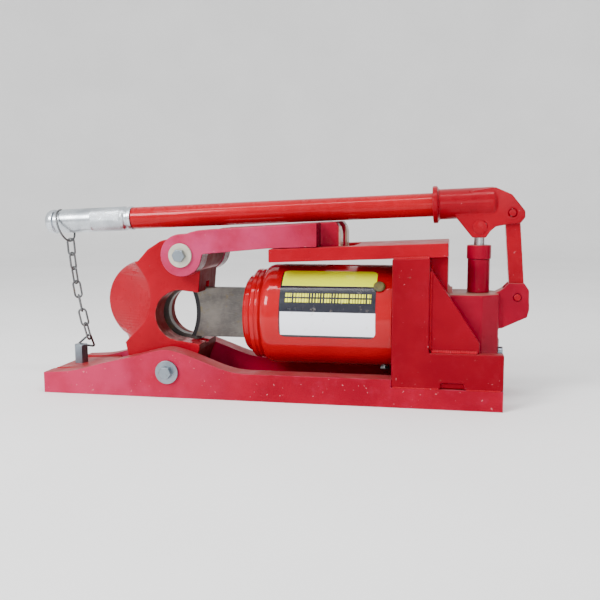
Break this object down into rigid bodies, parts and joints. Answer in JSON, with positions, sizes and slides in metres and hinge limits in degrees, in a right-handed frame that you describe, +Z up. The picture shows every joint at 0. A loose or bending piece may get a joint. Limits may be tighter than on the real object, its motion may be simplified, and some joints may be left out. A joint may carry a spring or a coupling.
{
  "type": "hydraulic wire rope cutter",
  "caption": "Bench hydraulic cable cutter: hinged cutting head, latch arm, hand-pumped ram and long welded base.",
  "frame": {"origin": "on the underside of the base plate, midway along the base and across it", "axes": "+X along the base towards the pump, +Y across away from the front cheek, +Z up"},
  "size_m": [0.5906, 0.1504, 0.2457],
  "materials": {
    "red_enamel": "gloss enamel on plate",
    "cast_red": "enamel on a slightly rough casting",
    "gloss_red": "high gloss enamel on turned parts",
    "zinc": "zinc plated",
    "blade_steel": "ground tool steel, dull",
    "ground_steel": "ground and polished",
    "machined_grip": "turned and knurled",
    "chain_steel": "dull zinc, darkened",
    "rubber": "olive brown rubber"
  },
  "bodies": {
    "base": {"base_plate": "red_enamel", "nose_block": "red_enamel", "front_side_plate": "red_enamel", "rear_side_plate": "red_enamel", "front_gusset": "red_enamel", "rear_gusset": "red_enamel", "reaction_plate": "red_enamel", "top_rail": "red_enamel", "pump_block": "red_enamel", "pump_barrel": "red_enamel", "packing_nut": "red_enamel", "link_low_pin": "red_enamel", "front_cheek": "cast_red", "rear_cheek": "cast_red", "reservoir_tube": "gloss_red", "gland_ring": "gloss_red", "top_nut": "gloss_red", "chain_stud": "zinc", "drain_plug": "zinc", "lower_washer_front": "zinc", "lower_washer_rear": "zinc", "lower_screw_front": "zinc", "lower_screw_rear": "zinc", "pressure_cylinder": "blade_steel", "lower_pin": "ground_steel", "check_ball": "ground_steel", "wiper_seal": "rubber"},
    "ram": {"ram": "ground_steel", "piston": "blade_steel", "piston_seal": "rubber", "moving_blade": "blade_steel", "blade_pin": "zinc"},
    "head": {"cutting_head": "cast_red", "fixed_blade": "blade_steel", "upper_pin": "ground_steel", "upper_washer_front": "zinc", "upper_washer_rear": "zinc", "upper_screw_front": "zinc", "upper_screw_rear": "zinc"},
    "arm": {"front_arm": "cast_red", "rear_arm": "cast_red", "arm_tie_bar": "red_enamel"},
    "lever": {"lever_socket": "cast_red", "handle_tube": "gloss_red", "grip": "machined_grip", "chain_ring": "chain_steel"},
    "link": {"link": "red_enamel", "link_top_pin": "red_enamel"},
    "plunger": {"plunger": "ground_steel", "plunger_pin": "red_enamel"},
    "chain": {"chain_link_1": "chain_steel", "chain_link_2": "chain_steel", "chain_link_3": "chain_steel", "chain_link_4": "chain_steel", "chain_link_5": "chain_steel", "chain_link_6": "chain_steel", "chain_link_7": "chain_steel", "chain_hook": "chain_steel"},
    "release_valve": {"release_valve": "zinc"},
    "filler_plug": {"filler_plug": "rubber"}
  },
  "joints": [
    {"name": "ram_slide", "type": "slide", "parent": "base", "child": "ram", "axis": [-1, 0, 0], "range_m": [0, 0.045]},
    {"name": "head_open", "type": "hinge", "parent": "base", "child": "head", "pos_m": [-0.1127, 0, 0.0305], "axis": [0, -1, 0], "range_deg": [0, 15]},
    {"name": "arm_lift", "type": "hinge", "parent": "head", "child": "arm", "pos_m": [-0.0947, 0, 0.167], "axis": [0, -1, 0], "range_deg": [0, 25.1]},
    {"name": "link_rock", "type": "hinge", "parent": "base", "child": "link", "pos_m": [0.2856, 0, 0.12], "axis": [0, 1, 0], "range_deg": [0, 1.25]},
    {"name": "lever_swing", "type": "hinge", "parent": "link", "child": "lever", "pos_m": [0.278, 0, 0.215], "axis": [0, 1, 0], "range_deg": [0, 45]},
    {"name": "plunger_slide", "type": "slide", "parent": "base", "child": "plunger", "axis": [0, 0, 1], "range_m": [0, 0.031]},
    {"name": "chain_hang", "type": "hinge", "parent": "lever", "child": "chain", "pos_m": [-0.2618, 0, 0.17995], "axis": [0, 1, 0], "range_deg": [-45.1, 0]},
    {"name": "release_turn", "type": "hinge", "parent": "base", "child": "release_valve", "pos_m": [0.268, -0.011, 0.057], "axis": [1, 0, 0], "range_deg": [0, 180]},
    {"name": "filler_pull", "type": "slide", "parent": "base", "child": "filler_plug", "axis": [0, -0.7727, 0.6347], "range_m": [0, 0.015]}
  ],
  "couplings": [
    {"joint": "arm_lift", "follows": "head_open", "ratio": 1.667},
    {"joint": "link_rock", "follows": "lever_swing", "ratio": 0.0267},
    {"joint": "plunger_slide", "follows": "lever_swing", "m_per_rad": 0.0393},
    {"joint": "chain_hang", "follows": "lever_swing", "ratio": -1}
  ]
}
